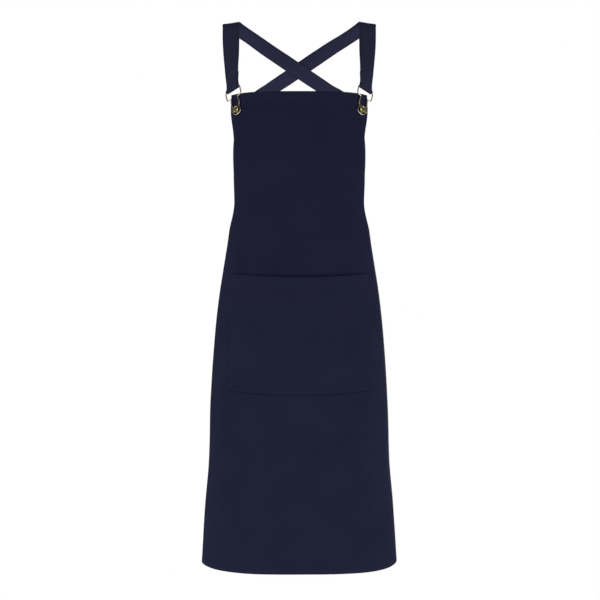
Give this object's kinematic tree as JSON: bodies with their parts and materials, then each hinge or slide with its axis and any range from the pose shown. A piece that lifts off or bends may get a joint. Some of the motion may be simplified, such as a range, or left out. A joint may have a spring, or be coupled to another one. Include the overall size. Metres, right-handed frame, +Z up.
{
  "type": "cross back apron",
  "caption": "Worn navy work apron with one wide patch pocket, two straps that cross behind, and wire clips hooked on brass buttons.",
  "frame": {"origin": "midway between the shoulders, level with the undersides of the two straps where they lie on them", "axes": "+Z up along the worn apron, +Y towards the wearer's back, so the bib and pocket face -Y; +X towards the wearer's left"},
  "size_m": [0.3628, 0.2694, 1.0148],
  "materials": {
    "navy_cloth": "matte",
    "strap_cloth": "matte",
    "antique_brass": "satin"
  },
  "bodies": {
    "root": {"apron_panel": "navy_cloth", "pocket": "navy_cloth", "left_strap": "strap_cloth", "right_strap": "strap_cloth", "left_clip": "antique_brass", "right_clip": "antique_brass", "left_button": "antique_brass", "right_button": "antique_brass"}
  },
  "joints": []
}
